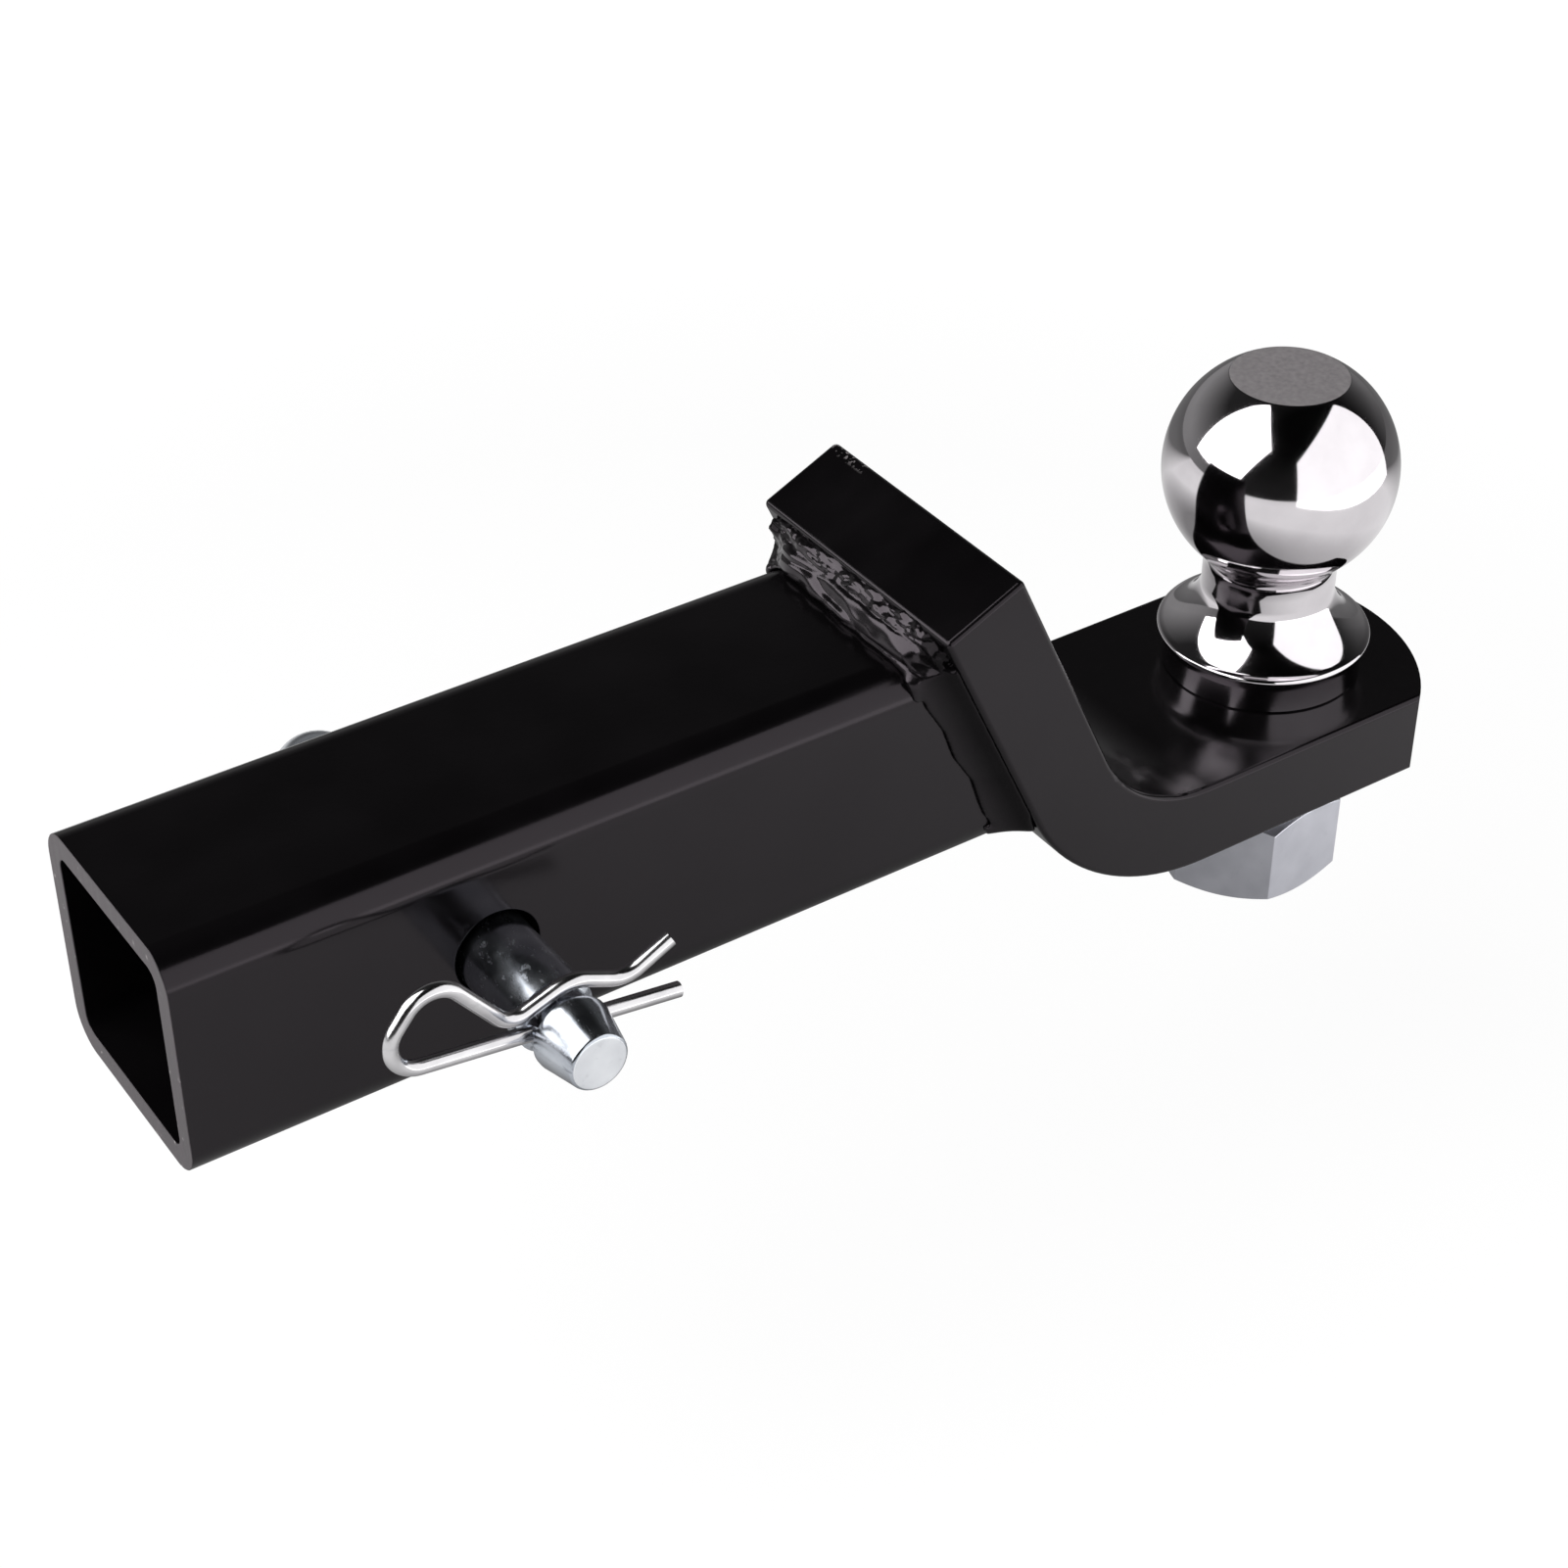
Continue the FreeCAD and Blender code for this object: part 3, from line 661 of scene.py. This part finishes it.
coat(ball, polished_chrome(), satin_flat())
ball_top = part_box("hitch_ball")[1].z
flat_faces = give(ball, 1, lambda face: face.center.z > ball_top - 0.05 * MM and face.normal.z > 0.99)
print("chromed the ball, with", flat_faces, "satin faces on its flat")

# %% [markdown]
# Zinc plate is a soft blue grey with a satin shine. The nut shows it clean. The pin is scratched along its
# length and scuffed dull in spots where it slides through the tube. Its cut end gets a paler copy of the
# zinc, and that paler colour is a painted highlight.

# %% Zinc plate and bright wire
def zinc(name, dark, pale, gloss_low, gloss_high, stretch, scratch, scuff=0.0):
    material, nodes, links, shader = finish(name)
    cloud = noise(nodes, links, 150, 5)
    tint = blend_colour(nodes, links, spread(nodes, links, cloud, 0.3, 0.7, 0, 1), dark, pale)
    marks = noise(nodes, links, 420, 4, stretch, 0.6)
    scars = spread(nodes, links, marks, 0.60, 0.68, 0, scratch)
    links.new(blend_colour(nodes, links, scars, tint, (0.16, 0.17, 0.2)), shader.inputs["Base Color"])
    shader.inputs["Metallic"].default_value = 1.0
    gloss = spread(nodes, links, cloud, 0.3, 0.7, gloss_low, gloss_high)
    scuffs = spread(nodes, links, noise(nodes, links, 520, 6, (1, 0.5, 1), 0.75), 0.5, 0.72, 0, scuff)
    links.new(either(nodes, links, gloss, scuffs), shader.inputs["Roughness"])
    links.new(bump(nodes, links, marks, 0.12, 0.04 * MM), shader.inputs["Normal"])
    return material


coat(nut, zinc("zinc_nut", (0.66, 0.665, 0.73), (0.73, 0.735, 0.80), 0.3, 0.4, (1, 1, 0.5), 0.06))
coat(washer, zinc("zinc_washer", (0.40, 0.41, 0.44), (0.55, 0.56, 0.60), 0.25, 0.4, (1, 1, 1), 0.2))
# The pin's cut end gets a paler, rougher copy of the zinc; its paler colour is a painted highlight.
coat(pin, zinc("zinc_pin", (0.42, 0.45, 0.50), (0.60, 0.63, 0.68), 0.15, 0.26, (1, 0.12, 1), 0.5, 0.52),
     zinc("zinc_cut_end_painted_highlight", (0.82, 0.84, 0.88), (0.92, 0.94, 0.97), 0.35, 0.5, (1, 1, 1), 0.1))
coat(clip, zinc("bright_wire", (0.56, 0.55, 0.565), (0.70, 0.69, 0.705), 0.14, 0.24, (0.3, 1, 1), 0.1))
cut_end = give(pin, 1, lambda face: face.center.y < tip_end + 0.1 * MM)
print("plated the nut, the washer, the clip and the pin, with", cut_end, "faces on its cut end")

# %% [markdown]
# The floor is pale and plain. To the camera it is white, mixed near the mount with a share of its real
# shading, so that a faint soft shadow stays on it. Mirrors see the floor darker close to the mount, which is
# a painted shadow, and dark behind it, where a real table would end. The world is white to the camera and to
# mirrors, and a weak fill to everything else.

# %% Floor and world
FLOOR_DROP = 60 * MM
BACKWARD = (cos(radians(46)), sin(radians(46)), 0)
TABLE_EDGE, TABLE_GLOW = (0.33, 0.52), (0.9, 0.12)
SHADE_MIDDLE = (0.10, 0.06, CAD_BOX[0].z - FLOOR_DROP)
SHADE_REACH, SHADE_GLOW = (0.10, 0.32), (0.2, 0.9)
SHADOW_REACH, WHITE_SHARE = (0.3, 0.6), (0.84, 1.0)
CAMERA_WHITE, MIRROR_SHARE = 1.05, 0.9
ROOM_LEVEL = (0.2, 1.0)
bpy.ops.object.select_all(action="DESELECT")
bpy.ops.mesh.primitive_plane_add(size=9, location=(0.1, 0, CAD_BOX[0].z - FLOOR_DROP))
floor = bpy.context.object
floor.name = "studio_floor"
bpy.ops.object.transform_apply(location=True)


def seen_directly(nodes, links):
    path = nodes.new("ShaderNodeLightPath")
    mirrored = either(nodes, links, path.outputs["Is Glossy Ray"], path.outputs["Is Transmission Ray"])
    return path.outputs["Is Camera Ray"], mirrored


def from_middle(nodes, links, middle):
    place_node = nodes.new("ShaderNodeTexCoord")
    node = nodes.new("ShaderNodeVectorMath")
    node.operation = "DISTANCE"
    node.inputs[1].default_value = middle
    links.new(place_node.outputs["Object"], node.inputs[0])
    return node.outputs["Value"]


def floor_finish():
    material, nodes, links, shader = finish("pale_floor")
    shader.inputs["Base Color"].default_value = (0.8, 0.8, 0.8, 1)
    shader.inputs["Roughness"].default_value = 0.9
    shader.inputs["Specular IOR Level"].default_value = 0.0
    straight, mirrored = seen_directly(nodes, links)
    table_end = spread(nodes, links, along(nodes, links, BACKWARD), *TABLE_EDGE, *TABLE_GLOW)
    # To mirrors the floor carries a painted shadow round the mount, darker the closer it is.
    away = from_middle(nodes, links, SHADE_MIDDLE)
    shade = spread(nodes, links, away, *SHADE_REACH, *SHADE_GLOW)
    table = either(nodes, links, table_end, shade, "MINIMUM")
    white = nodes.new("ShaderNodeEmission")
    seen = either(nodes, links, straight, CAMERA_WHITE, "MULTIPLY")
    links.new(either(nodes, links, seen, table), white.inputs["Strength"])
    pure = spread(nodes, links, away, *SHADOW_REACH, *WHITE_SHARE)
    share = either(nodes, links, either(nodes, links, straight, pure, "MULTIPLY"),
                   either(nodes, links, mirrored, MIRROR_SHARE, "MULTIPLY"))
    mix = nodes.new("ShaderNodeMixShader")
    links.new(share, mix.inputs["Fac"])
    links.new(shader.outputs[0], mix.inputs[1])
    links.new(white.outputs[0], mix.inputs[2])
    links.new(mix.outputs[0], nodes["Material Output"].inputs["Surface"])
    return material


coat(floor, floor_finish())
world = bpy.data.worlds.new("white_room")
bpy.context.scene.world = world
world.use_nodes = True
room, wires = world.node_tree.nodes, world.node_tree.links
room["Background"].inputs["Color"].default_value = (1, 1, 1, 1)
level = spread(room, wires, either(room, wires, *seen_directly(room, wires)), 0, 1, *ROOM_LEVEL)
wires.new(level, room["Background"].inputs["Strength"])
print("floor at", round(floor.data.vertices[0].co.z / MM, 1), "mm")

# %% [markdown]
# Glossy black and chrome show only what stands round them. A large soft lamp on the left and a paler panel
# on the right give the two white patches on the ball, and a dark dome round the set keeps the top faces
# deep black, as flags do in a photographer's studio. The dome is a stage piece that only mirrors see. A
# lamp is placed by its direction and distance from the ball, and turned to face along a direction of its
# own.

# %% Lamps and dark dome
BALL_PLACE = Vector((BALL_REACH, 0, PLATFORM_TOP + BALL_CENTRE)) * MM


def direction(azimuth, elevation):
    flat = cos(radians(elevation))
    return Vector((flat * cos(radians(azimuth)), flat * sin(radians(azimuth)), sin(radians(elevation))))


def soft_lamp(name, stands, distance, faces, size, brightness):
    lamp = bpy.data.lights.new(name, "AREA")
    lamp.shape = "RECTANGLE"
    lamp.size, lamp.size_y = size
    lamp.energy = brightness * pi * size[0] * size[1]
    holder = bpy.data.objects.new(name, lamp)
    bpy.context.scene.collection.objects.link(holder)
    holder.location = BALL_PLACE + direction(*stands) * distance
    holder.rotation_euler = direction(*faces).to_track_quat("Z", "Y").to_euler()
    holder.visible_camera = False
    return holder


BRIGHTER_SIDE = direction(85, 0)
BEHIND, BEHIND_GLOW = (-0.5, 2.6), (0.014, 0.26)
HEIGHT, HEIGHT_SHARE = (0.3, 1.9), (1.0, 0.1)
DOME_RADIUS = 2.8


def dome_finish():
    material, nodes, links, shader = finish("dark_cloth")
    place_node = nodes.new("ShaderNodeTexCoord")
    axes = nodes.new("ShaderNodeSeparateXYZ")
    links.new(place_node.outputs["Object"], axes.inputs[0])
    glow = nodes.new("ShaderNodeEmission")
    behind = spread(nodes, links, along(nodes, links, BRIGHTER_SIDE), *BEHIND, *BEHIND_GLOW)
    height = spread(nodes, links, axes.outputs["Z"], *HEIGHT, *HEIGHT_SHARE)
    links.new(either(nodes, links, behind, height, "MULTIPLY"), glow.inputs["Strength"])
    links.new(glow.outputs[0], nodes["Material Output"].inputs["Surface"])
    return material


soft_lamp("left_softbox", (179, 37), 1.3, (135, 33), (1.52, 1.53), 3.2)
soft_lamp("right_panel", (-86, 25.7), 0.67, (-52, 0), (1.38, 0.9), 1.4)
bpy.ops.object.select_all(action="DESELECT")
bpy.ops.mesh.primitive_uv_sphere_add(segments=48, ring_count=24, radius=DOME_RADIUS)
dome = bpy.context.object
dome.name = "dark_dome"
for ray in ("camera", "diffuse", "shadow", "transmission"):
    setattr(dome, "visible_" + ray, False)
coat(dome, dome_finish())
print("lamps and dome set")

# %% [markdown]
# The camera stands where the photographer stood, to the left of the open end and above it, with a long
# lens. Its place was solved from the corners of the tube and the plate. It isn't rolled or shifted.

# %% Camera
IMAGE_SIZE = 1601
FOCAL_PIXELS = 3227.2
CAMERA_PLACE = (-0.2055, -0.42583, 0.37048)
LOOKS_DOWN, LOOKS_RIGHT = 36.629, 33.861
lens = bpy.data.cameras.new("studio_camera")
lens.sensor_width = 36.0
lens.lens = FOCAL_PIXELS / IMAGE_SIZE * lens.sensor_width
camera = bpy.data.objects.new("studio_camera", lens)
bpy.context.scene.collection.objects.link(camera)
camera.location = CAMERA_PLACE
camera.rotation_euler = (radians(90 - LOOKS_DOWN), 0, radians(-LOOKS_RIGHT))
bpy.context.scene.camera = camera
bpy.context.scene.view_settings.view_transform = "Standard"
print("lens", round(lens.lens, 2), "mm")
